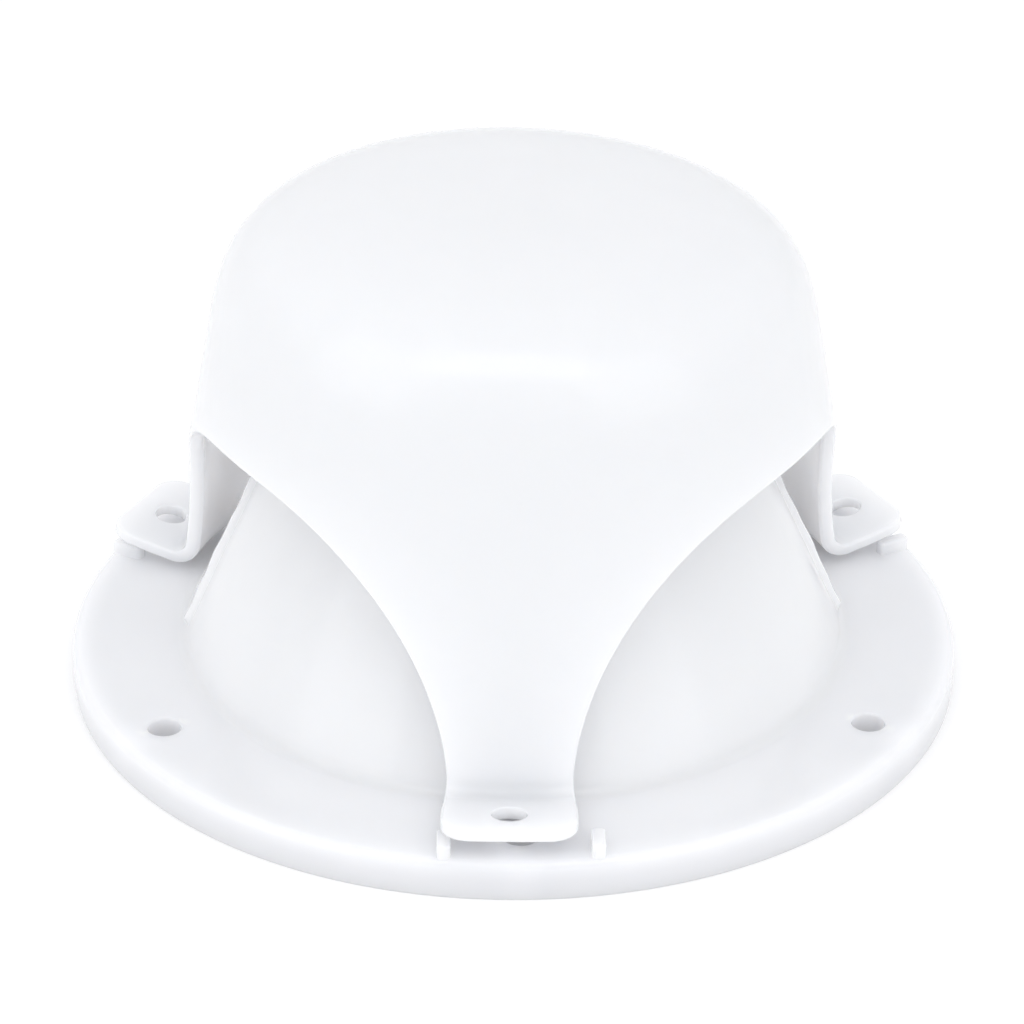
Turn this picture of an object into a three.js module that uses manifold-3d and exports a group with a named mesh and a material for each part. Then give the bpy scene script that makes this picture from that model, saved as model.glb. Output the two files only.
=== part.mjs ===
// Cowl vent for a boat deck: a round base moulding with a raised conical neck, and a domed cowl cap that
// stands over the neck on three legs. Millimetres, +Z up. The deck is the plane z = 0, the vent's axis is
// the Z axis, and the front leg points along -Y.
import * as THREE from 'three';
import { mergeVertices } from 'three/addons/utils/BufferGeometryUtils.js';
import Module from 'manifold-3d';

const wasm = await Module();
wasm.setup();

const AROUND = 72; // steps around the axis
const ROUNDING_STEPS = 3; // steps in a small rounding or bend
const CROWN_STEPS = 9; // steps in the crown curve
const UPRIGHT_STEPS = 20; // steps around a hole or boss
const LEG_EDGE_STEPS = 11; // steps in each curve of a leg's edge
const WALL = 2.8; // wall of both mouldings
const FIT_GAP = 0.3; // gap left between faces that rest on each other

// Base moulding
const FLANGE_RADIUS = 80;
const FLANGE_HEIGHT = 7.1;
const RIM_WALL = 3.2; // rim turned down to the deck
const RIM_EDGE = 1.5; // rounding of the rim's top edge
const RIM_FOOT_EDGE = 0.5; // rounding of the rim's lower edge
const NECK_ROOT_RADIUS = 59.8; // neck's outer cone where it meets the flange
const NECK_LEAN = Math.atan(0.45); // neck's wall from the vertical
const NECK_FILLET = 2.5;
const NECK_TOP = 58; // higher than the arches, so that spray cannot drive straight in
const SCREW_CIRCLE = 71; // radius of the circle of screw holes
const SCREW_HOLE = 2.9; // radius of a screw hole
const BOSS_RADIUS = 6.7; // pad under each screw hole, down to the deck
const HOLE_COUNT = 6;
const NUB_HEIGHT = 2.4; // locating nubs beside each foot
const NUB_WIDTH = 2.4;
const NUB_INNER_END = 72.2;
const NUB_OUTER_END = 78.2;
const NUB_ROUNDING = 0.7;
const SEAT_WIDTH = 23.4; // clear width between the two nubs of a seat
const SEAM_HEIGHT = 1.1; // raised parting seam down each side of the neck
const SEAM_WIDTH = 2.6;
const SEAM_TURN = THREE.MathUtils.degToRad(2); // seam's plane from the X axis

// Cowl cap, measured up from where its feet rest on the nubs
const CAP_HEIGHT = 81.7;
const CROWN_REACH = 43; // length of the crown curve's handle along the top
const CROWN_LEAN = 0.02; // rise of the crown per mm towards -X, as moulded
const SHOULDER_HANDLE = 17.6; // length of the crown curve's handle along the skirt
const SKIRT_TOP = 59.8;
const SKIRT_RADIUS = 53.4; // skirt's outer radius at its top
const SKIRT_FLARE = Math.atan(0.18); // skirt's wall from the vertical
const ARCH_TOP = 45.2;
const LEG_NARROW = 10.8; // half of the leg's least width
const LEG_NARROW_HEIGHT = 3.6;
const LEG_HANDLE = 19.6; // handles of the curve from the leg up into the arch
const LEG_HANDLE_LEAN = 1.4;
const ARCH_HANDLE = 20.5;
const FOOT_WALL = 2.2; // each foot is a tab square to its leg, so its tip points slightly up
const FOOT_HALF_WIDTH = 11.5;
const FOOT_WIDENING = 4.8; // length of tab, from the leg's face, in which it grows to its full width
const FOOT_LENGTH = 15.4; // leg's outer face to the tab's end
const FOOT_CORNER = 5;
const FOOT_BEND = 2.5; // inner radius of the bend from leg to foot
const FOOT_HOLE = 2.95;
const FOOT_HOLE_REACH = 8.4; // leg's outer face to the middle of the hole
const LEG_COUNT = 3;
const LEG_TURNS = [0, 0, 4.1]; // degrees by which each leg stands round from even spacing
const CAP_TURN = THREE.MathUtils.degToRad(-1.5); // the clockwise side of a foot stands on a nub
const CAP_REST = FLANGE_HEIGHT + NUB_HEIGHT + FIT_GAP;

// A closed geometry as a solid for cutting and joining.
function toSolid(geometry) {
  const bare = new THREE.BufferGeometry();
  bare.setAttribute('position', geometry.getAttribute('position'));
  bare.setIndex(geometry.getIndex());
  const merged = mergeVertices(bare, 1e-4);
  const mesh = new wasm.Mesh({
    numProp: 3,
    vertProperties: new Float32Array(merged.getAttribute('position').array),
    triVerts: new Uint32Array(merged.getIndex().array),
  });
  mesh.merge();
  return new wasm.Manifold(mesh);
}

function toGeometry(solid) {
  const mesh = solid.getMesh();
  const geometry = new THREE.BufferGeometry();
  geometry.setAttribute('position', new THREE.BufferAttribute(new Float32Array(mesh.vertProperties), 3));
  geometry.setIndex(new THREE.BufferAttribute(new Uint32Array(mesh.triVerts), 1));
  geometry.computeVertexNormals();
  return geometry;
}

function curvePoints(curve) {
  if (curve.isLineCurve) {
    return curve.getPoints(1);
  }
  return curve.getPoints(curve.isEllipseCurve ? ROUNDING_STEPS : CROWN_STEPS);
}

// Turns a section drawn with x = radius and y = height around the Z axis.
function revolve(section) {
  const points = [];
  for (const point of section.curves.flatMap(curvePoints)) {
    if (points.length === 0 || point.distanceTo(points.at(-1)) > 1e-6) {
      points.push(point);
    }
  }
  const lathe = new THREE.LatheGeometry(points, AROUND);
  return toSolid(lathe.rotateX(Math.PI / 2));
}

// Raises a plan outline from z = low to z = high.
function prism(outline, low, high) {
  const geometry = new THREE.ExtrudeGeometry(outline, {
    depth: high - low,
    bevelEnabled: false,
    curveSegments: ROUNDING_STEPS,
  });
  return toSolid(geometry.translate(0, 0, low));
}

function upright(radius, distance, low, high) {
  const post = new THREE.CylinderGeometry(radius, radius, high - low, UPRIGHT_STEPS);
  return toSolid(post.rotateX(Math.PI / 2).translate(0, -distance, (low + high) / 2));
}

// Copies of a solid, spaced evenly around the axis but for each one's own extra turn in degrees.
function aroundAxis(solid, count, turns = []) {
  const copies = [];
  for (let i = 0; i < count; i++) {
    copies.push(solid.rotate([0, 0, (360 / count) * i + (turns[i] ?? 0)]));
  }
  return wasm.Manifold.union(copies);
}

function roundedBox(x0, x1, y0, y1, rounding) {
  const outline = new THREE.Shape();
  outline.absarc(x1 - rounding, y1 - rounding, rounding, 0, Math.PI / 2);
  outline.absarc(x0 + rounding, y1 - rounding, rounding, Math.PI / 2, Math.PI);
  outline.absarc(x0 + rounding, y0 + rounding, rounding, Math.PI, Math.PI * 1.5);
  outline.absarc(x1 - rounding, y0 + rounding, rounding, Math.PI * 1.5, Math.PI * 2);
  outline.closePath();
  return outline;
}

// Raised seam down both sides of the neck, where the halves of the mould met.
function neckSeam() {
  const innerAt = (height) => NECK_ROOT_RADIUS - (height - FLANGE_HEIGHT) * Math.tan(NECK_LEAN) - WALL / 2;
  const crest = WALL / 2 + SEAM_HEIGHT / Math.cos(NECK_LEAN);
  const low = FLANGE_HEIGHT - WALL / 2;
  const high = NECK_TOP - WALL;
  const outline = new THREE.Shape();
  outline.moveTo(innerAt(low), low);
  outline.lineTo(innerAt(low) + crest, low);
  outline.lineTo(innerAt(high) + crest, high);
  outline.lineTo(innerAt(high), high);
  outline.closePath();
  const seam = prism(outline, -SEAM_WIDTH / 2, SEAM_WIDTH / 2).rotate([90, 0, 0]);
  return aroundAxis(seam, 2).rotate([0, 0, THREE.MathUtils.radToDeg(SEAM_TURN)]);
}

// Section of the base: rim, flange, fillet, neck with a rounded lip, and the hollow underside.
function baseSection() {
  const filletReach = NECK_FILLET * Math.tan((Math.PI / 2 - NECK_LEAN) / 2);
  const lipRadius = WALL / 2;
  const outwardX = Math.cos(NECK_LEAN);
  const outwardY = Math.sin(NECK_LEAN);
  const lipHeight = NECK_TOP - lipRadius;
  const lipOuterX = NECK_ROOT_RADIUS
    - (lipHeight + lipRadius * outwardY - FLANGE_HEIGHT) * Math.tan(NECK_LEAN);
  const lipX = lipOuterX - lipRadius * outwardX;
  const underside = FLANGE_HEIGHT - WALL;
  const neckInnerFoot = NECK_ROOT_RADIUS + WALL * Math.tan(NECK_LEAN) - WALL / outwardX;
  const section = new THREE.Path();
  section.moveTo(FLANGE_RADIUS - RIM_WALL, 0);
  section.lineTo(FLANGE_RADIUS - RIM_FOOT_EDGE, 0);
  section.absarc(
    FLANGE_RADIUS - RIM_FOOT_EDGE, RIM_FOOT_EDGE, RIM_FOOT_EDGE, -Math.PI / 2, 0);
  section.absarc(FLANGE_RADIUS - RIM_EDGE, FLANGE_HEIGHT - RIM_EDGE, RIM_EDGE, 0, Math.PI / 2);
  section.absarc(
    NECK_ROOT_RADIUS + filletReach, FLANGE_HEIGHT + NECK_FILLET, NECK_FILLET,
    Math.PI * 1.5, Math.PI + NECK_LEAN, true);
  section.absarc(lipX, lipHeight, lipRadius, NECK_LEAN, Math.PI + NECK_LEAN);
  section.lineTo(neckInnerFoot, underside);
  section.lineTo(FLANGE_RADIUS - RIM_WALL, underside);
  section.closePath();
  return section;
}

function baseSolid() {
  const underside = FLANGE_HEIGHT - WALL;
  const boss = upright(BOSS_RADIUS, SCREW_CIRCLE, 0, underside + WALL / 2);
  const hole = upright(SCREW_HOLE, SCREW_CIRCLE, -1, FLANGE_HEIGHT + 1);
  const nubStart = SEAT_WIDTH / 2;
  const nubOutline = roundedBox(nubStart, nubStart + NUB_WIDTH, -NUB_OUTER_END, -NUB_INNER_END, NUB_ROUNDING);
  const rightNub = prism(nubOutline, FLANGE_HEIGHT - WALL / 2, FLANGE_HEIGHT + NUB_HEIGHT);
  const nubs = rightNub.add(rightNub.mirror([1, 0, 0]));
  return revolve(baseSection())
    .add(aroundAxis(boss, HOLE_COUNT))
    .add(aroundAxis(nubs, LEG_COUNT))
    .add(neckSeam())
    .subtract(aroundAxis(hole, HOLE_COUNT));
}

// Adds the crown curve, from the axis out to the skirt's top, on the face that lies inset below the outside.
function crownCurve(section, inset, outward) {
  const alongX = Math.sin(SKIRT_FLARE);
  const alongY = Math.cos(SKIRT_FLARE);
  const endX = SKIRT_RADIUS - inset * alongY;
  const endY = SKIRT_TOP - inset * alongX;
  const shoulderHandle = SHOULDER_HANDLE - inset / 2;
  const reach = CROWN_REACH - inset / 2;
  const top = CAP_HEIGHT - inset;
  const handleX = endX - shoulderHandle * alongX;
  const handleY = endY + shoulderHandle * alongY;
  if (outward) {
    section.moveTo(0, top);
    section.bezierCurveTo(reach, top, handleX, handleY, endX, endY);
  } else {
    section.lineTo(endX, endY);
    section.bezierCurveTo(handleX, handleY, reach, top, 0, top);
  }
}

// Point of the cap's section at a distance out from the leg's outer face and up from the foot's underside.
function footPoint(out, up) {
  const alongX = Math.sin(SKIRT_FLARE);
  const alongY = Math.cos(SKIRT_FLARE);
  const legLength = (NUB_INNER_END - SKIRT_RADIUS) * alongX + SKIRT_TOP * alongY;
  return new THREE.Vector2(
    SKIRT_RADIUS + legLength * alongX + out * alongY - up * alongX,
    SKIRT_TOP - legLength * alongY + out * alongX + up * alongY);
}

// Section of the cap as if its skirt and foot ran all the way around.
function capSection() {
  const ringLength = FOOT_LENGTH + WALL;
  const innerBend = FOOT_BEND + FOOT_WALL;
  const innerCentre = footPoint(innerBend - WALL, innerBend);
  const outerCentre = footPoint(FOOT_BEND, FOOT_WALL + FOOT_BEND);
  const legSide = Math.PI + SKIRT_FLARE;
  const footSide = Math.PI * 1.5 + SKIRT_FLARE;
  const ringLow = footPoint(ringLength, 0);
  const ringHigh = footPoint(ringLength, FOOT_WALL);
  const section = new THREE.Path();
  crownCurve(section, WALL, true);
  section.absarc(innerCentre.x, innerCentre.y, innerBend, legSide, footSide);
  section.lineTo(ringLow.x, ringLow.y);
  section.lineTo(ringHigh.x, ringHigh.y);
  section.absarc(outerCentre.x, outerCentre.y, FOOT_BEND, footSide, legSide, true);
  crownCurve(section, 0, false);
  return section;
}

// Front view of one leg: the narrow shank and the curves that open into the arches on both sides.
function legOutline() {
  const archRadius = SKIRT_RADIUS + (SKIRT_TOP - ARCH_TOP) * Math.tan(SKIRT_FLARE);
  const archHalf = archRadius * Math.sin(Math.PI / LEG_COUNT);
  const lift = LEG_NARROW_HEIGHT + LEG_HANDLE;
  const outline = new THREE.Shape();
  outline.moveTo(-LEG_NARROW, -2 * WALL);
  outline.lineTo(LEG_NARROW, -2 * WALL);
  outline.lineTo(LEG_NARROW, LEG_NARROW_HEIGHT);
  outline.bezierCurveTo(
    LEG_NARROW + LEG_HANDLE_LEAN, lift, archHalf - ARCH_HANDLE, ARCH_TOP, archHalf, ARCH_TOP);
  outline.lineTo(archHalf, ARCH_TOP + WALL);
  outline.lineTo(-archHalf, ARCH_TOP + WALL);
  outline.lineTo(-archHalf, ARCH_TOP);
  outline.bezierCurveTo(
    ARCH_HANDLE - archHalf, ARCH_TOP, -LEG_NARROW - LEG_HANDLE_LEAN, lift, -LEG_NARROW, LEG_NARROW_HEIGHT);
  outline.closePath();
  return outline;
}

// Outline of a foot in its own plane: x across, -y outward from the leg's outer face.
function footOutline() {
  const halfway = FOOT_WIDENING / 2;
  const outline = new THREE.Shape();
  outline.moveTo(-LEG_NARROW, 2 * WALL);
  outline.lineTo(-LEG_NARROW, 0);
  outline.bezierCurveTo(
    -LEG_NARROW, -halfway, -FOOT_HALF_WIDTH, -halfway, -FOOT_HALF_WIDTH, -FOOT_WIDENING);
  outline.absarc(
    FOOT_CORNER - FOOT_HALF_WIDTH, FOOT_CORNER - FOOT_LENGTH, FOOT_CORNER, Math.PI, Math.PI * 1.5);
  outline.absarc(
    FOOT_HALF_WIDTH - FOOT_CORNER, FOOT_CORNER - FOOT_LENGTH, FOOT_CORNER, Math.PI * 1.5, Math.PI * 2);
  outline.lineTo(FOOT_HALF_WIDTH, -FOOT_WIDENING);
  outline.bezierCurveTo(FOOT_HALF_WIDTH, -halfway, LEG_NARROW, -halfway, LEG_NARROW, 0);
  outline.lineTo(LEG_NARROW, 2 * WALL);
  outline.closePath();
  return outline;
}

// Moves a solid drawn in a foot's own frame to the front leg.
function ontoFoot(solid) {
  const root = footPoint(0, 0);
  return solid.rotate([-THREE.MathUtils.radToDeg(SKIRT_FLARE), 0, 0]).translate([0, -root.x, root.y]);
}

// Tips a point above the skirt towards -X, more the higher it lies.
function leanCrown(point) {
  const share = THREE.MathUtils.smoothstep(point[2], SKIRT_TOP, CAP_HEIGHT);
  point[2] -= CROWN_LEAN * point[0] * share;
}

function capSolid() {
  const shankFront = new THREE.ExtrudeGeometry(legOutline(), {
    depth: footPoint(FOOT_BEND, 0).x,
    bevelEnabled: false,
    curveSegments: LEG_EDGE_STEPS,
  });
  const shank = toSolid(shankFront.rotateX(Math.PI / 2));
  const foot = ontoFoot(prism(footOutline(), -WALL, FOOT_WALL + FOOT_BEND));
  const hole = ontoFoot(upright(FOOT_HOLE, FOOT_HOLE_REACH, -WALL, 2 * WALL));
  const legs = aroundAxis(shank.add(foot).subtract(hole), LEG_COUNT, LEG_TURNS);
  const dome = upright(2 * FLANGE_RADIUS, 0, ARCH_TOP, CAP_HEIGHT + WALL);
  return revolve(capSection()).intersect(legs.add(dome)).warp(leanCrown);
}

function part(name, solid, colour, roughness) {
  const material = new THREE.MeshStandardMaterial({ color: colour, roughness, metalness: 0 });
  const mesh = new THREE.Mesh(toGeometry(solid), material);
  mesh.name = name;
  return mesh;
}

const base = part('base_flange', baseSolid(), 0xf1f3f7, 0.22);
const cap = part('cowl_cap', capSolid(), 0xf3f5f8, 0.2);
cap.rotation.z = CAP_TURN;
cap.position.z = CAP_REST;

const vent = new THREE.Group();
vent.add(base, cap);

export default vent;
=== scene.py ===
"""Cowl vent: the moulded look of the base and the cap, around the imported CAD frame."""

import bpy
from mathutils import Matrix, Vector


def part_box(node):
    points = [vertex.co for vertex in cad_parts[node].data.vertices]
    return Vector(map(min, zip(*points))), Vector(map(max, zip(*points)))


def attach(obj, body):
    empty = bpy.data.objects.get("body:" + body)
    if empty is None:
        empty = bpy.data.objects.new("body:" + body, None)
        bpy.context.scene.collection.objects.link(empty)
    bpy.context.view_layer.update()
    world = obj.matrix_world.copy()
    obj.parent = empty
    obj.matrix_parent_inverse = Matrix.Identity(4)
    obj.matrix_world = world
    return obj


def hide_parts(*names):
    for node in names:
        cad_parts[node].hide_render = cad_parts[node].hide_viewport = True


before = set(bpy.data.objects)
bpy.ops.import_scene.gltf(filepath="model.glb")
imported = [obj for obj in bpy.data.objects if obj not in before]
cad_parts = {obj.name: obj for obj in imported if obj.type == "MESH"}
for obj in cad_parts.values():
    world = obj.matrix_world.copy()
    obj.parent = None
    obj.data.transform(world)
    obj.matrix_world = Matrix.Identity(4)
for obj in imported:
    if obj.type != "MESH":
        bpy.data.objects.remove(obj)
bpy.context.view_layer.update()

from math import atan, cos, pi, radians, sin, tan

import bpy
import numpy as np
from mathutils import Matrix, Vector
from mathutils.geometry import delaunay_2d_cdt

MM = 0.001
_, base_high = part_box("base_flange")
_, cap_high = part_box("cowl_cap")

# Sizes that the frame gives
FLANGE_RADIUS = base_high.x
NECK_TOP = base_high.z

# Sizes shared by both mouldings
WALL = 2.8 * MM

# Base moulding
FLANGE_HEIGHT = 7.1 * MM
RIM_WALL = 3.2 * MM
RIM_EDGE = 1.5 * MM  # rounding of the rim's upper edge
RIM_FOOT_EDGE = 0.5 * MM  # rounding of its lower edge
NECK_ROOT_RADIUS = 59.8 * MM  # neck's outside where it meets the flange
NECK_LEAN = atan(0.45)
NECK_FILLET = 2.5 * MM  # rounding between the flange and the neck
SCREW_CIRCLE = 71 * MM  # radius of the circle that the screw holes lie on
SCREW_HOLE = 2.9 * MM  # radius
HOLE_EDGE = 0.45 * MM
HOLE_COUNT = 6
BOSS_RADIUS = 6.7 * MM  # pad under each screw hole
NUB_HEIGHT = 2.4 * MM
NUB_WIDTH = 2.4 * MM
NUB_INNER_END = 72.2 * MM
NUB_OUTER_END = 78.2 * MM
NUB_CORNER = 0.7 * MM
NUB_EDGE = 0.5 * MM
NUB_SUNK = 1.2 * MM
SEAT_WIDTH = 23.4 * MM  # gap between the two nubs of a pair
FIT_GAP = 0.3 * MM  # feet above the nubs, so that the two mouldings never cross
SEAM_HEIGHT = 1.1 * MM
SEAM_WIDTH = 2.6 * MM
SEAM_TURN = radians(2)
SEAM_WAVES = (2.9 * MM, 1.1 * MM)  # lengths of its slow and quick unevenness
SEAM_WANDER = 0.12 * MM

# Cowl cap, measured up from where its feet rest on the nubs
CAP_REST = FLANGE_HEIGHT + NUB_HEIGHT + FIT_GAP
CROWN_LEAN = 0.02  # rise of the crown towards -X, as moulded
LEAN_RISE = 0.15 * MM  # what the lean adds to the highest point
CAP_HEIGHT = cap_high.z - CAP_REST - LEAN_RISE
CROWN_REACH = 43 * MM  # length of the crown curve's handle along the top
SHOULDER_HANDLE = 17.6 * MM  # and of its handle up the skirt
SKIRT_TOP = 59.8 * MM
SKIRT_RADIUS = 53.4 * MM  # skirt's outer radius at its top
SKIRT_FLARE = atan(0.18)
ARCH_TOP = 45.2 * MM
LEG_NARROW = 10.8 * MM  # half of a leg's least width
LEG_NARROW_HEIGHT = 3.6 * MM
LEG_HANDLE = 19.6 * MM
LEG_HANDLE_LEAN = 1.4 * MM
ARCH_HANDLE = 20.5 * MM
FOOT_WALL = 2.2 * MM
FOOT_HALF_WIDTH = 11.45 * MM
FOOT_WIDENING = 6.5 * MM  # tab's length in which it grows to its full width
FOOT_LENGTH = 15.35 * MM  # leg's outer face to the tab's end
FOOT_CORNER = 5 * MM
FOOT_BEND = 2.5 * MM  # inner radius of the bend from leg to foot
FOOT_HOLE = 2.95 * MM
FOOT_HOLE_EDGE = 0.3 * MM
FOOT_HOLE_REACH = 8.1 * MM  # leg's outer face to the middle of the hole
LEG_COUNT = 3
LEG_TURNS = [radians(turn) for turn in (0, 0, 4.1)]  # away from even spacing
CAP_TURN = radians(-1.5)  # cap as it stands on the base, feet on nubs
CAP_EDGE = 0.6 * MM
LEG_SPREAD = radians(25)  # a turned leg turns as one within this angle of its middle

# Looks
PLASTIC = (0.956, 0.96, 0.987)
CLOUD_SHADE = 0.965
# Convex edges are paler by this factor: part edge wear, part painted light, as if more light came through
# the thin edges
EDGE_WEAR_AND_PAINTED_LIGHT = 1.04
SCATTER_DISTANCE = 10 * MM  # how far light wanders inside the plastic
PEEL_DEPTH = 0.1 * MM
CLOUD_SCALE, SCUFF_SCALE, PEEL_SCALE = 22, 120, 260
BASE_GLOSS = (0.06, 0.16)
CAP_GLOSS = (0.1, 0.2)
HORIZON = (0.852, 0.857, 0.876)
OVERHEAD = (0.922, 0.927, 0.948)
PAINTED_SHADE_HEIGHT = 9.6 * MM  # above this, the base has its full colour
# Painted shade up the base, as grey factors from the deck to that height: the rim's side darkens towards the
# deck like a contact shadow, and the rim's top edge and the flange top are greyed a little to dull their
# highlights
RIM_PAINTED_SHADE = [(0, 0.77), (0.37, 0.8), (0.66, 0.85), (0.73, 0.9), (0.745, 0.97), (1, 1)]
# the cap gets no painted shade
NO_PAINTED_SHADE = [(0, 1), (1, 1)]

# Fineness of the meshes
AROUND = 216
SPACING = 1.5 * MM
BEND_STRETCH = 3.6  # the foot's bend is this much longer in the flat layout than on the cap
POST_AROUND = 48
HOLE_AROUND = 40
EDGE_STEPS = 6


# ---------------------------------------------------------------- mesh helpers

def bezier(p0, p1, p2, p3, t):
    """Points and tangents of a cubic curve at the parameters t."""
    p0, p1, p2, p3 = (np.array(p, float) for p in (p0, p1, p2, p3))
    t = np.asarray(t, float)[:, None]
    s = 1 - t
    points = s**3 * p0 + 3 * s * s * t * p1 + 3 * s * t * t * p2 + t**3 * p3
    tangents = 3 * s * s * (p1 - p0) + 6 * s * t * (p2 - p1) + 3 * t * t * (p3 - p2)
    return points, tangents


def turn_z(points, angle):
    """The points, or normals, turned about the vent's axis by one angle or by an angle each."""
    points = np.asarray(points)
    c, s = np.cos(angle), np.sin(angle)
    x, y, z = points.T
    return np.stack([c * x - s * y, s * x + c * y, z], 1)


def smooth(t):
    """Eases from 0 to 1, and stays level outside that range."""
    t = np.clip(t, 0, 1)
    return t * t * (3 - 2 * t)


class Shell:
    """Patches of points, normals and faces that are welded into one mesh at the end."""

    def __init__(self):
        self.points, self.normals, self.faces, self.count = [], [], [], 0

    def add(self, points, normals, faces):
        self.points.append(np.asarray(points, float))
        self.normals.append(np.asarray(normals, float))
        self.faces.extend([tuple(i + self.count for i in face) for face in faces])
        self.count += len(points)

    def build(self, name, matrix):
        """The welded mesh as an object, with the patches' own normals."""
        points = np.vstack(self.points)
        normals = np.vstack(self.normals)
        keys = np.round(points / (MM * 1e-3)).astype(np.int64)
        _, first, inverse = np.unique(keys, axis=0, return_index=True, return_inverse=True)
        inverse = inverse.ravel()
        faces = []
        for face in self.faces:
            welded = [int(inverse[i]) for i in face]
            ring = [v for k, v in enumerate(welded) if v != welded[k - 1]]
            if len(set(ring)) >= 3:
                faces.append(ring)
        mesh = bpy.data.meshes.new(name)
        mesh.from_pydata(points[first].tolist(), [], faces)
        mesh.shade_smooth()
        mesh.update()
        mesh.normals_split_custom_set_from_vertices(normals[first].tolist())
        mesh.transform(matrix)
        piece = bpy.data.objects.new(name, mesh)
        bpy.context.collection.objects.link(piece)
        return piece


def grid_faces(rows, columns, closed=False):
    """Quads between the rows of a grid of points, whose rows may close on themselves."""
    faces = []
    span = columns if closed else columns - 1
    for i in range(rows - 1):
        for j in range(span):
            k = (j + 1) % columns
            faces.append((i * columns + j, i * columns + k, (i + 1) * columns + k, (i + 1) * columns + j))
    return faces


def facing(points, normals, faces):
    """The faces, each wound so that it faces along its corners' normals."""
    points, normals = np.asarray(points), np.asarray(normals)
    turned = []
    for face in faces:
        a, b, c = (points[face[k]] for k in (0, 1, 2))
        across = np.cross(b - a, c - a)
        if len(face) == 4:
            across = across + np.cross(c - a, points[face[3]] - a)
        turned.append(tuple(face) if across @ normals[list(face)].sum(0) > 0 else tuple(reversed(face)))
    return turned


def inside(points, loop):
    """Even-odd test of 2-D points against a closed loop."""
    x, y = points[:, 0][:, None], points[:, 1][:, None]
    ax, ay = loop[:, 0], loop[:, 1]
    bx, by = np.roll(ax, -1), np.roll(ay, -1)
    spans = (ay > y) != (by > y)
    rise = np.where(by == ay, 1e-30, by - ay)
    crossing = ax + (y - ay) * (bx - ax) / rise
    return (np.count_nonzero(spans & (x < crossing), axis=1) % 2) == 1


def mesh_region(outer, holes, spacing):
    """Even triangles that fill a 2-D region: its points, loops first, and its faces."""
    loops = [outer, *holes]
    low, high = outer.min(0), outer.max(0)
    clear_of_border = 0.62 * spacing
    step_y = spacing * sin(radians(60))
    inner = []
    for i, y in enumerate(np.arange(low[1], high[1], step_y)):
        start = low[0] + (spacing / 2 if i % 2 else 0)
        inner.extend((x, y) for x in np.arange(start, high[0], spacing))
    inner = np.array(inner)
    keep = inside(inner, outer)
    for hole in holes:
        keep &= ~inside(inner, hole)
    inner = inner[keep]
    border = np.vstack(loops)
    gap = np.array([np.min(np.hypot(*(border - p).T)) for p in inner])
    points = np.vstack([border, inner[gap > clear_of_border]])
    edges, start = [], 0
    for loop in loops:
        n = len(loop)
        edges.extend((start + k, start + (k + 1) % n) for k in range(n))
        start += n
    scale = 1 / spacing
    result = delaunay_2d_cdt([Vector(p * scale) for p in points], edges, [], 0, 1e-6)
    source = [ids[0] for ids in result[3]]
    faces = [[source[v] for v in face] for face in result[2]]
    centres = np.array([points[face].mean(0) for face in faces])
    keep = inside(centres, outer)
    for hole in holes:
        keep &= ~inside(centres, hole)
    return points, [face for face, kept in zip(faces, keep) if kept]


# ---------------------------------------------------------------- cowl cap

SKIRT_ALONG = np.array([sin(SKIRT_FLARE), -cos(SKIRT_FLARE)])
SKIRT_OUT = np.array([cos(SKIRT_FLARE), sin(SKIRT_FLARE)])
LEG_LENGTH = (NUB_INNER_END - SKIRT_RADIUS) * sin(SKIRT_FLARE) + SKIRT_TOP * cos(SKIRT_FLARE)
FOOT_ROOT = np.array([SKIRT_RADIUS, SKIRT_TOP]) + LEG_LENGTH * SKIRT_ALONG
BEND_CENTRE = FOOT_ROOT + FOOT_BEND * SKIRT_OUT - (FOOT_WALL + FOOT_BEND) * SKIRT_ALONG
BEND_END = BEND_CENTRE + FOOT_BEND * SKIRT_ALONG
SKIRT_LENGTH = LEG_LENGTH - FOOT_WALL - FOOT_BEND
BEND_LENGTH = FOOT_BEND * pi / 2 * BEND_STRETCH
ACROSS = 56 * MM  # turns an angle around the axis into a distance in the flat layout


def outside_at(v):
    """Radius and height, the normal's two parts and the wall at the distances v down the outside."""
    v = np.asarray(v, float)
    skirt = np.array([SKIRT_RADIUS, SKIRT_TOP]) + v[:, None] * SKIRT_ALONG
    turned = np.clip((v - SKIRT_LENGTH) / BEND_LENGTH, 0, 1)
    angle = SKIRT_FLARE + turned * pi / 2
    out = np.stack([np.cos(angle), np.sin(angle)], 1)
    bend = BEND_CENTRE - FOOT_BEND * out
    foot = BEND_END + (v - SKIRT_LENGTH - BEND_LENGTH)[:, None] * SKIRT_OUT
    place = np.where((v <= SKIRT_LENGTH)[:, None], skirt, bend)
    place = np.where((v > SKIRT_LENGTH + BEND_LENGTH)[:, None], foot, place)
    return place, out, WALL + (FOOT_WALL - WALL) * turned


def on_cap(azimuth, v, depth=0.0):
    """Points and normals at an angle from the leg's middle, the given part of the wall below the outside."""
    place, out, wall = outside_at(v)
    place = place - depth * wall[:, None] * out
    across = np.stack([np.sin(azimuth), -np.cos(azimuth)], 1)
    points = np.column_stack([across * place[:, :1], place[:, 1]])
    normals = np.column_stack([across * out[:, :1], out[:, 1]])
    return points, normals


def down_foot(radius):
    """Distance down the outside of points on top of a foot, from their distance to the axis."""
    return SKIRT_LENGTH + BEND_LENGTH + (radius - BEND_END[0]) / SKIRT_OUT[0]


def foot_place(x, out):
    """Angle and distance down for points on top of a foot, measured out from the leg's face."""
    radial = FOOT_ROOT[0] - FOOT_WALL * sin(SKIRT_FLARE) + out * SKIRT_OUT[0]
    return np.arctan2(x, radial), down_foot(np.hypot(x, radial))


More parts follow.
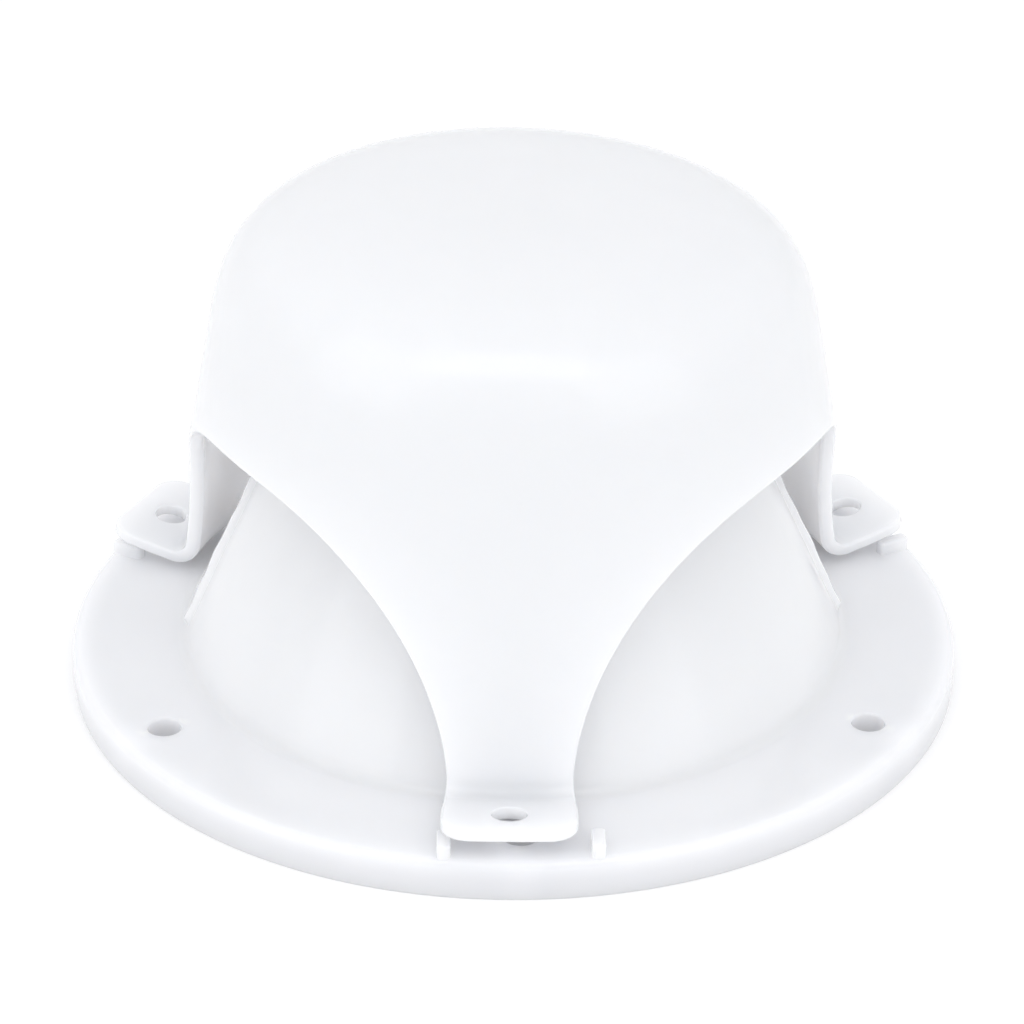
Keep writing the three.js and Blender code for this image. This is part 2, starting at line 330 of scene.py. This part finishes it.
def leg_edge():
    """Right half of a leg's edge, from the top of the arch to the middle of the foot's tip."""
    arch_radius = SKIRT_RADIUS + (SKIRT_TOP - ARCH_TOP) * tan(SKIRT_FLARE)
    arch_half = arch_radius * sin(pi / LEG_COUNT)
    curve, _ = bezier(
        (arch_half, ARCH_TOP), (arch_half - ARCH_HANDLE, ARCH_TOP),
        (LEG_NARROW + LEG_HANDLE_LEAN, LEG_NARROW_HEIGHT + LEG_HANDLE), (LEG_NARROW, LEG_NARROW_HEIGHT),
        np.linspace(0, 1, 61))
    radius = SKIRT_RADIUS + (SKIRT_TOP - curve[:, 1]) * tan(SKIRT_FLARE)
    azimuth = [np.arcsin(curve[:, 0] / radius)]
    down = [(SKIRT_TOP - curve[:, 1]) / cos(SKIRT_FLARE)]

    bend_arc = FOOT_BEND * pi / 2
    widening_arc = bend_arc + FOOT_WIDENING - FOOT_BEND
    v = np.linspace(down[0][-1], SKIRT_LENGTH + BEND_LENGTH, 15)[1:]
    t = (v - SKIRT_LENGTH) / BEND_LENGTH * bend_arc / widening_arc
    half = LEG_NARROW + (FOOT_HALF_WIDTH - LEG_NARROW) * smooth(t)
    azimuth.append(np.arcsin(half / outside_at(v)[0][:, 0]))
    down.append(v)

    widening = np.linspace(FOOT_BEND, FOOT_WIDENING, 8)[1:]
    t = (bend_arc + widening - FOOT_BEND) / widening_arc
    side = np.linspace(FOOT_WIDENING, FOOT_LENGTH - FOOT_CORNER, 8)[1:]
    corner = np.linspace(0, pi / 2, 9)[1:]
    tip = np.linspace(FOOT_HALF_WIDTH - FOOT_CORNER, 0, 7)[1:]
    x = np.concatenate([
        LEG_NARROW + (FOOT_HALF_WIDTH - LEG_NARROW) * smooth(t),
        np.full_like(side, FOOT_HALF_WIDTH),
        FOOT_HALF_WIDTH - FOOT_CORNER + FOOT_CORNER * np.cos(corner),
        tip])
    out = np.concatenate([
        widening,
        side,
        FOOT_LENGTH - FOOT_CORNER + FOOT_CORNER * np.sin(corner),
        np.full_like(tip, FOOT_LENGTH)])
    foot_azimuth, foot_down = foot_place(x, out)
    azimuth.append(foot_azimuth)
    down.append(foot_down)
    return np.concatenate(azimuth), np.concatenate(down)


def rounded_rim(shell, top, top_normals, conormals, wall, edge, closed):
    """A wall's edge: from the outside face, round to the edge, down it, and round to the inside face."""
    wall = wall[:, None]
    steps = np.linspace(0, pi / 2, 5)
    rows, normals = [], []
    for angle in steps:
        out = cos(angle) * top_normals + sin(angle) * conormals
        rows.append(top - edge * top_normals + edge * out)
        normals.append(out)
    for angle in steps[::-1]:
        out = -cos(angle) * top_normals + sin(angle) * conormals
        rows.append(top - (wall - edge) * top_normals + edge * out)
        normals.append(out)
    points, normals = np.vstack(rows), np.vstack(normals)
    shell.add(points, normals, facing(points, normals, grid_faces(len(rows), len(top), closed)))


def leg_sector(shell):
    """A third of the cap below its shoulder, with the leg in the middle."""
    half_azimuth, half_down = leg_edge()
    azimuth = np.concatenate([half_azimuth, -half_azimuth[-2::-1]])
    down = np.concatenate([half_down, half_down[-2::-1]])
    edge_points, edge_normals = on_cap(azimuth, down)

    third = 2 * pi / LEG_COUNT
    chain = np.vstack([turn_z(edge_points, third)[:-1], edge_points, turn_z(edge_points, -third)[1:]])
    tangents = np.gradient(chain, axis=0)[len(azimuth) - 1:2 * len(azimuth) - 1]
    conormals = np.cross(edge_normals, tangents)
    conormals /= np.linalg.norm(conormals, axis=1)[:, None]
    if conormals[0][2] > 0:
        conormals = -conormals

    inset = edge_points - CAP_EDGE * conormals
    inset_azimuth = np.arctan2(inset[:, 0], -inset[:, 1])
    radius = np.hypot(inset[:, 0], inset[:, 1])
    on_skirt = down <= SKIRT_LENGTH
    on_foot = down >= SKIRT_LENGTH + BEND_LENGTH
    inset_down = np.where(on_skirt, (SKIRT_TOP - inset[:, 2]) / cos(SKIRT_FLARE), down)
    inset_down = np.where(on_foot, down_foot(radius), inset_down)
    inset_azimuth[0], inset_azimuth[-1] = third / 2, -third / 2

    top, top_normals = on_cap(inset_azimuth, inset_down)
    rounded_rim(shell, top, top_normals, conormals, outside_at(inset_down)[2], CAP_EDGE, False)

    hole_angles = np.linspace(0, 2 * pi, HOLE_AROUND, endpoint=False)
    reach = FOOT_HOLE + FOOT_HOLE_EDGE
    hole_azimuth, hole_down = foot_place(
        reach * np.cos(hole_angles), FOOT_HOLE_REACH + reach * np.sin(hole_angles))
    hole_top, hole_normals = on_cap(hole_azimuth, hole_down)
    centre, _ = on_cap(*foot_place(np.zeros(1), np.array([FOOT_HOLE_REACH])))
    to_centre = centre - hole_top
    to_centre -= np.sum(to_centre * hole_normals, axis=1)[:, None] * hole_normals
    to_centre /= np.linalg.norm(to_centre, axis=1)[:, None]
    rounded_rim(shell, hole_top, hole_normals, to_centre, outside_at(hole_down)[2], FOOT_HOLE_EDGE, True)

    seam_count = 10
    ring = np.linspace(-third / 2, third / 2, AROUND // LEG_COUNT + 1)
    seam = np.linspace(0, inset_down[0], seam_count + 1)[1:-1]
    border = np.vstack([
        np.column_stack([inset_azimuth, inset_down]),
        np.column_stack([np.full_like(seam, -third / 2), seam[::-1]]),
        np.column_stack([ring, np.zeros_like(ring)]),
        np.column_stack([np.full_like(seam, third / 2), seam]),
    ])
    scale = np.array([ACROSS, 1])
    hole = np.column_stack([hole_azimuth, hole_down])
    layout, faces = mesh_region(border * scale, [hole * scale], SPACING)
    azimuth, down = layout[:, 0] / ACROSS, layout[:, 1]
    for depth, side in ((0, 1), (1, -1)):
        points, normals = on_cap(azimuth, down, depth)
        normals = side * normals
        shell.add(points, normals, facing(points, normals, faces))


def crown(shell):
    """The cap's top, from the axis to the top of the skirt, outside and inside."""
    end = np.array([SKIRT_RADIUS, SKIRT_TOP])
    section, tangents = bezier(
        (0, CAP_HEIGHT), (CROWN_REACH, CAP_HEIGHT), end - SHOULDER_HANDLE * SKIRT_ALONG, end,
        np.linspace(0, 1, 57))
    tangents /= np.linalg.norm(tangents, axis=1)[:, None]
    out = np.stack([-tangents[:, 1], tangents[:, 0]], 1)
    azimuth = np.linspace(0, 2 * pi, AROUND, endpoint=False)
    azimuth = azimuth + pi / LEG_COUNT
    across = np.stack([np.sin(azimuth), -np.cos(azimuth)], 1)
    for depth, side in ((0, 1), (WALL, -1)):
        place = section - depth * out
        place[0, 0] = 0
        points = np.array([[*(a * r), z] for r, z in place for a in across])
        normals = side * np.array([[*(a * r), z] for r, z in out for a in across])
        shell.add(points, normals, facing(points, normals, grid_faces(len(place), AROUND, True)))


def leg_angles(points, k):
    """Turn of each point of leg k: the leg to its own place, and the arches halfway to their neighbours'."""
    azimuth = np.arctan2(points[:, 0], -points[:, 1])
    across = smooth((abs(azimuth) - LEG_SPREAD) / (pi / LEG_COUNT - LEG_SPREAD))
    neighbour = np.where(azimuth > 0, LEG_TURNS[(k + 1) % LEG_COUNT], LEG_TURNS[k - 1])
    swing = LEG_TURNS[k] + (neighbour - LEG_TURNS[k]) / 2 * across
    still = SKIRT_TOP - WALL * sin(SKIRT_FLARE)
    below_skirt = smooth((still - points[:, 2]) / (still - ARCH_TOP))
    return 2 * pi / LEG_COUNT * k + swing * below_skirt


def lean_crown(points, normals):
    """Tips the part above the skirt towards -X, more the higher it lies."""
    height = CAP_HEIGHT - SKIRT_TOP
    t = np.clip((points[:, 2] - SKIRT_TOP) / height, 0, 1)
    slope = -CROWN_LEAN * smooth(t)
    stretch = 1 - CROWN_LEAN * points[:, 0] * 6 * t * (1 - t) / height
    rise = slope * points[:, 0]
    x, y, z = normals.T
    turned = np.stack([x - slope * z / stretch, y, z / stretch], 1)
    return points + np.outer(rise, (0, 0, 1)), turned / np.linalg.norm(turned, axis=1)[:, None]


def build_cap():
    """The cap: three sectors, each with its leg, under one crown."""
    sector = Shell()
    leg_sector(sector)
    points, normals = np.vstack(sector.points), np.vstack(sector.normals)
    shell = Shell()
    for k in range(LEG_COUNT):
        angles = leg_angles(points, k)
        shell.add(turn_z(points, angles), turn_z(normals, angles), sector.faces)
    crown(shell)
    points, normals = lean_crown(np.vstack(shell.points), np.vstack(shell.normals))
    shell.points, shell.normals = [points], [normals]
    place = Matrix.Translation((0, 0, CAP_REST)) @ Matrix.Rotation(CAP_TURN, 4, "Z")
    piece = shell.build("cowl_cap_moulding", place)
    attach(piece, "cap")
    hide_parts("cowl_cap")
    return piece


# ---------------------------------------------------------------- base

def arc(centre, radius, start, end, steps):
    """Points of a round stretch of an outline, both ends included."""
    angles = np.linspace(start, end, steps + 1)
    return [(centre[0] + radius * cos(a), centre[1] + radius * sin(a)) for a in angles]


def line(start, end, steps):
    """Points between the two ends of a straight stretch of an outline."""
    start, end = np.array(start), np.array(end)
    return [tuple(start + (end - start) * k / steps) for k in range(1, steps)]


def base_section():
    """The base's closed section, as radius and height, and which of its points lie on the neck's outside."""
    lean, soft = NECK_LEAN, 0.4 * MM
    lip = WALL / 2
    fillet_reach = NECK_FILLET * tan((pi / 2 - lean) / 2)
    lip_height = NECK_TOP - lip
    lip_outer = NECK_ROOT_RADIUS - (lip_height + lip * sin(lean) - FLANGE_HEIGHT) * tan(lean)
    lip_centre = (lip_outer - lip * cos(lean), lip_height)
    underside = FLANGE_HEIGHT - WALL
    inner_foot = NECK_ROOT_RADIUS + WALL * tan(lean) - WALL / cos(lean)
    rim_inner = FLANGE_RADIUS - RIM_WALL
    fillet_centre = (NECK_ROOT_RADIUS + fillet_reach, FLANGE_HEIGHT + NECK_FILLET)
    edge_centre = (FLANGE_RADIUS - RIM_EDGE, FLANGE_HEIGHT - RIM_EDGE)
    points = [(rim_inner + soft / 2, 0)]
    points += arc((FLANGE_RADIUS - RIM_FOOT_EDGE, RIM_FOOT_EDGE), RIM_FOOT_EDGE, -pi / 2, 0, 5)
    points += line((FLANGE_RADIUS, RIM_FOOT_EDGE), (FLANGE_RADIUS, edge_centre[1]), 6)
    points += arc(edge_centre, RIM_EDGE, 0, pi / 2, 10)
    flange_top = [(edge_centre[0] - soft, FLANGE_HEIGHT), (fillet_centre[0] + soft, FLANGE_HEIGHT)]
    points += [flange_top[0], *line(*flange_top, 12), flange_top[1]]
    points += arc(fillet_centre, NECK_FILLET, pi * 1.5, pi + lean, 12)
    neck_foot = points[-1]
    lip_arc = arc(lip_centre, lip, lean, pi + lean, 14)
    neck_start = len(points)
    points += line(neck_foot, lip_arc[0], 60)
    neck = range(neck_start, len(points))
    points += lip_arc
    points += line(lip_arc[-1], (inner_foot, underside), 26)
    points += [(inner_foot, underside), (inner_foot + soft, underside)]
    points += [(rim_inner - soft, underside), (rim_inner, underside), (rim_inner, soft / 2)]
    return points, neck


def base_angles():
    """Angles of the lathe's steps, closer together across the neck's two seams."""
    half = 2 * SEAM_WIDTH / NECK_ROOT_RADIUS
    seams = [SEAM_TURN, SEAM_TURN + pi]
    even = np.linspace(0, 2 * pi, AROUND, endpoint=False)
    clear = [angle for angle in even if all(abs(sin(angle - seam)) > half for seam in seams)]
    close = [seam + np.linspace(-half, half, 49) for seam in seams]
    return np.sort(np.concatenate([clear, *close]) % (2 * pi))


def seam_rise(angle, radius, height):
    """How far the neck's outside stands out at its parting seams, which are a little uneven."""
    away = radius * sin(angle - SEAM_TURN)
    slow, quick = SEAM_WAVES
    wave = sin(height / slow) + 0.7 * sin(height / quick + 2 * angle)
    shape = smooth(1.4 - 1.4 * abs(away - SEAM_WANDER * wave) / (SEAM_WIDTH / 2))
    foot = smooth((height - FLANGE_HEIGHT - 0.6 * MM) / (1.5 * MM))
    top = smooth((NECK_TOP - WALL - height) / (2 * MM))
    return SEAM_HEIGHT * (1 + 0.08 * wave) * shape * foot * top


def lathe_mesh(name):
    """The base turned from its section, with the seams raised on its neck."""
    section, neck = base_section()
    angles = base_angles()
    count, around = len(section), len(angles)
    points = []
    for angle in angles:
        for k, (r, z) in enumerate(section):
            rise = seam_rise(angle, r, z) if k in neck else 0
            r, z = r + rise * cos(NECK_LEAN), z + rise * sin(NECK_LEAN)
            points.append((r * cos(angle), r * sin(angle), z))
    faces = []
    for k in range(around):
        here, there = k * count, (k + 1) % around * count
        for i in range(count):
            j = (i + 1) % count
            faces.append((here + i, there + i, there + j, here + j))
    mesh = bpy.data.meshes.new(name)
    mesh.from_pydata(points, [], faces)
    mesh.update()
    return mesh


def post_points(section, around, distance, angle):
    """A solid of revolution about a vertical line at a distance from the vent's axis."""
    points = []
    for k in range(around):
        turn = 2 * pi * k / around
        points.extend((distance + r * cos(turn), r * sin(turn), z) for r, z in section)
    return turn_z(np.array(points), angle)


def posts(name, section, around, distance, angles):
    """Copies of a closed post, one at each angle, in one mesh. The section runs up the post's side."""
    count = len(section)
    points, faces = [], []
    for angle in angles:
        start = len(points)
        points.extend(post_points(section, around, distance, angle).tolist())
        for k in range(around):
            here, there = start + k * count, start + (k + 1) % around * count
            faces.extend((here + i, there + i, there + i + 1, here + i + 1) for i in range(count - 1))
        faces.append([start + k * count for k in reversed(range(around))])
        faces.append([start + k * count + count - 1 for k in range(around)])
    mesh = bpy.data.meshes.new(name)
    mesh.from_pydata(points, [], faces)
    mesh.update()
    return mesh


def hole_section():
    """Side of a screw hole's cutter, flaring at the top and bottom so that the cut edges are soft."""
    low, high = -0.02 * MM, FLANGE_HEIGHT + 0.02 * MM
    side = [(SCREW_HOLE + HOLE_EDGE, low - MM)]
    for k in range(EDGE_STEPS + 1):
        angle = pi / 2 * k / EDGE_STEPS
        side.append((SCREW_HOLE + HOLE_EDGE * (1 - sin(angle)), low + HOLE_EDGE * (1 - cos(angle))))
    for k in range(EDGE_STEPS + 1):
        angle = pi / 2 * (1 - k / EDGE_STEPS)
        side.append((SCREW_HOLE + HOLE_EDGE * (1 - sin(angle)), high - HOLE_EDGE * (1 - cos(angle))))
    side.append((SCREW_HOLE + HOLE_EDGE, high + MM))
    return side


def nub_levels():
    """Heights up a nub, each with how far its sides have drawn in over the rounded top edge."""
    top = FLANGE_HEIGHT + NUB_HEIGHT
    levels = [(FLANGE_HEIGHT - NUB_SUNK, 0), (top - NUB_EDGE, 0)]
    for k in range(1, 5):
        angle = pi / 2 * k / 4
        levels.append((top - NUB_EDGE * (1 - sin(angle)), NUB_EDGE * (1 - cos(angle))))
    return levels


def nub_outline(shrink):
    """A nub from above: a rectangle with round corners of four points each, drawn in by a distance."""
    reach, half = (NUB_OUTER_END - NUB_INNER_END) / 2, NUB_WIDTH / 2
    outline = []
    for quarter, (sign_x, sign_y) in enumerate(((1, 1), (-1, 1), (-1, -1), (1, -1))):
        for k in range(4):
            turn = pi / 2 * quarter + pi / 2 * k / 3
            x = sign_x * (reach - NUB_CORNER) + (NUB_CORNER - shrink) * cos(turn)
            y = sign_y * (half - NUB_CORNER) + (NUB_CORNER - shrink) * sin(turn)
            outline.append((x, y))
    return outline


def nub_mesh(name, angles):
    """Locating nubs, a pair for each foot, as rounded blocks sunk into the flange."""
    middle = (NUB_INNER_END + NUB_OUTER_END) / 2
    levels = nub_levels()
    points, faces = [], []
    for angle in angles:
        for side in (-1, 1):
            start = len(points)
            offset = side * (SEAT_WIDTH / 2 + NUB_WIDTH / 2)
            block = [
                (middle + x, offset + y, height)
                for height, shrink in levels for x, y in nub_outline(shrink)]
            points.extend(turn_z(np.array(block), angle).tolist())
            around = len(block) // len(levels)
            for ring in grid_faces(len(levels), around, True):
                faces.append([start + v for v in ring])
            faces.append([start + v for v in reversed(range(around))])
            faces.append([start + v for v in range(len(block) - around, len(block))])
    mesh = bpy.data.meshes.new(name)
    mesh.from_pydata(points, [], faces)
    mesh.update()
    return mesh


def keep_modified(piece):
    """Keeps the mesh as its modifiers leave it."""
    depsgraph = bpy.context.evaluated_depsgraph_get()
    result = bpy.data.meshes.new_from_object(piece.evaluated_get(depsgraph))
    piece.modifiers.clear()
    piece.data = result


def combine(piece, tool_mesh, operation):
    """Joins a tool to the piece, or cuts it out of it."""
    tool = bpy.data.objects.new("tool", tool_mesh)
    bpy.context.collection.objects.link(tool)
    modifier = piece.modifiers.new("combine", "BOOLEAN")
    modifier.operation = operation
    modifier.solver = "EXACT"
    modifier.object = tool
    keep_modified(piece)
    bpy.data.objects.remove(tool)


def shade_by_area(piece):
    """Smooth shading in which the broad faces stay flat right up to the small curved ones beside them."""
    piece.data.shade_smooth()
    piece.data.set_sharp_from_angle(angle=radians(32))
    modifier = piece.modifiers.new("shade", "WEIGHTED_NORMAL")
    modifier.mode = "FACE_AREA"
    modifier.keep_sharp = True
    keep_modified(piece)


def build_base():
    """The base: its turned body, pads under the screw holes, nubs, and then the holes themselves."""
    piece = bpy.data.objects.new("base_flange_moulding", lathe_mesh("base"))
    bpy.context.collection.objects.link(piece)
    front = -pi / 2
    hole_angles = [front + 2 * pi / HOLE_COUNT * k for k in range(HOLE_COUNT)]
    seat_angles = [front + 2 * pi / LEG_COUNT * k for k in range(LEG_COUNT)]
    boss = [(BOSS_RADIUS, 0.0), (BOSS_RADIUS, FLANGE_HEIGHT - WALL / 2)]
    combine(piece, posts("boss", boss, POST_AROUND, SCREW_CIRCLE, hole_angles), "UNION")
    combine(piece, nub_mesh("nubs", seat_angles), "UNION")
    combine(piece, posts("holes", hole_section(), POST_AROUND, SCREW_CIRCLE, hole_angles), "DIFFERENCE")
    shade_by_area(piece)
    piece.data.name = "base_flange_moulding"
    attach(piece, "base")
    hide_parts("base_flange")
    return piece


# ---------------------------------------------------------------- materials

def noise(nodes, links, source, scale, detail, roughness=0.5):
    node = nodes.new("ShaderNodeTexNoise")
    node.inputs["Scale"].default_value = scale
    node.inputs["Detail"].default_value = detail
    node.inputs["Roughness"].default_value = roughness
    links.new(source, node.inputs["Vector"])
    return node.outputs["Fac"]


def ramp(nodes, links, source, stops):
    """A colour that blends from stop to stop as the source goes from 0 to 1."""
    node = nodes.new("ShaderNodeValToRGB")
    while len(node.color_ramp.elements) < len(stops):
        node.color_ramp.elements.new(1)
    for element, (place, colour) in zip(node.color_ramp.elements, stops):
        element.position = place
        element.color = (*colour, 1)
    links.new(source, node.inputs["Fac"])
    return node.outputs["Color"]


def spread(nodes, links, source, low, high):
    """The source, from 0 to 1, spread over another range."""
    node = nodes.new("ShaderNodeMapRange")
    node.inputs["To Min"].default_value = low
    node.inputs["To Max"].default_value = high
    links.new(source, node.inputs["Value"])
    return node.outputs["Result"]


def paint_shade_by_height(nodes, links, place, colour, stops):
    """The colour with painted shade: greyed by the stops' factors from the deck up to the foot of the neck.
    """
    split = nodes.new("ShaderNodeSeparateXYZ")
    links.new(place, split.inputs["Vector"])
    height = nodes.new("ShaderNodeMapRange")
    height.inputs["From Max"].default_value = PAINTED_SHADE_HEIGHT
    links.new(split.outputs["Z"], height.inputs["Value"])
    grey = ramp(nodes, links, height.outputs["Result"], [(stop, (tone,) * 3) for stop, tone in stops])
    product = nodes.new("ShaderNodeMix")
    product.data_type = "RGBA"
    product.blend_type = "MULTIPLY"
    product.inputs["Factor"].default_value = 1
    links.new(colour, product.inputs["A"])
    links.new(grey, product.inputs["B"])
    return product.outputs["Result"]


def moulded_plastic(name, colour, gloss, offset, painted_shade):
    """Glossy white plastic: faint flow clouding, slight orange peel, fine scuffs, paler edges (part wear,
    part painted light) and painted shade by height where given.
    """
    material = bpy.data.materials.new(name)
    material.use_nodes = True
    nodes, links = material.node_tree.nodes, material.node_tree.links
    shader = nodes["Principled BSDF"]
    place = nodes.new("ShaderNodeTexCoord")
    shift = nodes.new("ShaderNodeMapping")
    shift.inputs["Location"].default_value = (offset, offset * 0.7, offset * 0.3)
    links.new(place.outputs["Object"], shift.inputs["Vector"])
    source = shift.outputs["Vector"]

    cloud = noise(nodes, links, source, CLOUD_SCALE, 3)
    shade = tuple(c * CLOUD_SHADE for c in colour)
    clouded = ramp(nodes, links, cloud, [(0.3, shade), (0.7, colour)])

    # paler convex edges: part edge wear, part painted light through the thin plastic
    geometry = nodes.new("ShaderNodeNewGeometry")
    edge = nodes.new("ShaderNodeMapRange")
    edge.inputs["From Min"].default_value = 0.52
    edge.inputs["From Max"].default_value = 0.62
    links.new(geometry.outputs["Pointiness"], edge.inputs["Value"])
    edge_wear_and_painted_light = nodes.new("ShaderNodeMix")
    edge_wear_and_painted_light.data_type = "RGBA"
    edge_wear_and_painted_light.inputs["B"].default_value = (*(min(1, c * EDGE_WEAR_AND_PAINTED_LIGHT) for c in colour), 1)
    links.new(edge.outputs["Result"], edge_wear_and_painted_light.inputs["Factor"])
    links.new(clouded, edge_wear_and_painted_light.inputs["A"])
    # painted shade: the base greyed towards the deck like a contact shadow, and over the rim's top edge to
    # dull its highlight
    with_painted_shade = paint_shade_by_height(nodes, links, place.outputs["Object"], edge_wear_and_painted_light.outputs["Result"], painted_shade)
    links.new(with_painted_shade, shader.inputs["Base Color"])

    scuffs = nodes.new("ShaderNodeMapping")
    scuffs.inputs["Scale"].default_value = (1, 6, 1)
    scuffs.inputs["Rotation"].default_value = (0.3, 0.2, 0.9)
    links.new(source, scuffs.inputs["Vector"])
    scuffed = noise(nodes, links, scuffs.outputs["Vector"], SCUFF_SCALE, 6, 0.7)
    links.new(spread(nodes, links, scuffed, *gloss), shader.inputs["Roughness"])

    peel = noise(nodes, links, source, PEEL_SCALE, 2)
    bump = nodes.new("ShaderNodeBump")
    bump.inputs["Strength"].default_value = 0.03
    bump.inputs["Distance"].default_value = PEEL_DEPTH
    links.new(peel, bump.inputs["Height"])
    links.new(bump.outputs["Normal"], shader.inputs["Normal"])

    shader.inputs["IOR"].default_value = 1.5
    shader.inputs["Subsurface Weight"].default_value = 1
    shader.inputs["Subsurface Radius"].default_value = (1.0, 0.95, 0.9)
    shader.inputs["Subsurface Scale"].default_value = SCATTER_DISTANCE
    return material


# ---------------------------------------------------------------- stage, lights, camera

def floor():
    """A plain white floor that glows a little, so that it stays as pale as paper."""
    reach = 6.0
    mesh = bpy.data.meshes.new("floor")
    mesh.from_pydata(
        [(-reach, -reach, 0), (reach, -reach, 0), (reach, reach, 0), (-reach, reach, 0)], [], [(0, 1, 2, 3)])
    plane = bpy.data.objects.new("floor", mesh)
    bpy.context.collection.objects.link(plane)
    material = bpy.data.materials.new("floor_white")
    material.use_nodes = True
    shader = material.node_tree.nodes["Principled BSDF"]
    shader.inputs["Base Color"].default_value = (0.7, 0.7, 0.7, 1)
    shader.inputs["Roughness"].default_value = 0.9
    shader.inputs["Emission Color"].default_value = (1, 1, 1, 1)
    shader.inputs["Emission Strength"].default_value = 0.3
    mesh.materials.append(material)


def softbox(name, azimuth, elevation, distance, width, height, radiance):
    """A soft panel of even light that faces the vent from a compass direction."""
    data = bpy.data.lights.new(name, "AREA")
    data.shape = "RECTANGLE"
    data.size = width
    data.size_y = height
    data.energy = radiance * pi * width * height
    lamp = bpy.data.objects.new(name, data)
    aim = Vector((0, 0, 45 * MM))
    across, up = cos(radians(elevation)), sin(radians(elevation))
    away = Vector((across * cos(radians(azimuth)), across * sin(radians(azimuth)), up))
    lamp.location = aim + distance * away
    lamp.rotation_euler = (-away).to_track_quat("-Z", "Y").to_euler()
    bpy.context.collection.objects.link(lamp)


def sky():
    """Even surroundings, dimmer near the horizon than overhead."""
    world = bpy.data.worlds.new("studio")
    world.use_nodes = True
    nodes, links = world.node_tree.nodes, world.node_tree.links
    place = nodes.new("ShaderNodeTexCoord")
    split = nodes.new("ShaderNodeSeparateXYZ")
    links.new(place.outputs["Generated"], split.inputs["Vector"])
    tone = ramp(nodes, links, split.outputs["Z"], [(0.0, HORIZON), (0.9, OVERHEAD)])
    links.new(tone, nodes["Background"].inputs["Color"])
    bpy.context.scene.world = world


def studio():
    """Even soft light with a gentle panel at either side and one above the front."""
    sky()
    softbox("left_box", azimuth=-148.5, elevation=29, distance=0.9, width=0.62, height=0.88, radiance=0.66)
    softbox("right_box", azimuth=-43, elevation=29, distance=0.9, width=0.62, height=0.88, radiance=0.63)
    softbox("front_box", azimuth=-92, elevation=62, distance=1.0, width=0.85, height=0.5, radiance=0.94)


def camera():
    """A long lens at the photograph's angle, in front of the vent and a little above it."""
    distance, elevation, azimuth, tilt = 0.760, radians(30.56), radians(-1.04), 0.0027
    aim = Vector((-0.33 * MM, 0, 30.0 * MM))
    data = bpy.data.cameras.new("camera")
    data.lens = 145.9
    data.sensor_width = 36
    data.clip_start = 0.05
    data.clip_end = 50
    view = bpy.data.objects.new("camera", data)
    place = Vector((
        distance * cos(elevation) * sin(azimuth),
        -distance * cos(elevation) * cos(azimuth),
        distance * sin(elevation)))
    facing_aim = (aim - place).to_track_quat("-Z", "Y").to_matrix().to_4x4()
    view.matrix_world = Matrix.Translation(place) @ facing_aim @ Matrix.Rotation(tilt, 4, "Z")
    bpy.context.collection.objects.link(view)
    bpy.context.scene.camera = view


camera()
base = build_base()
cap = build_cap()
# the base carries painted shade towards the deck, the cap none
base_plastic = moulded_plastic("base_plastic", PLASTIC, BASE_GLOSS, offset=0.31, painted_shade=RIM_PAINTED_SHADE)
base.data.materials.append(base_plastic)
cap_plastic = moulded_plastic("cap_plastic", PLASTIC, CAP_GLOSS, offset=0.77, painted_shade=NO_PAINTED_SHADE)
cap.data.materials.append(cap_plastic)
floor()
studio()
bpy.context.scene.view_settings.view_transform = "Standard"
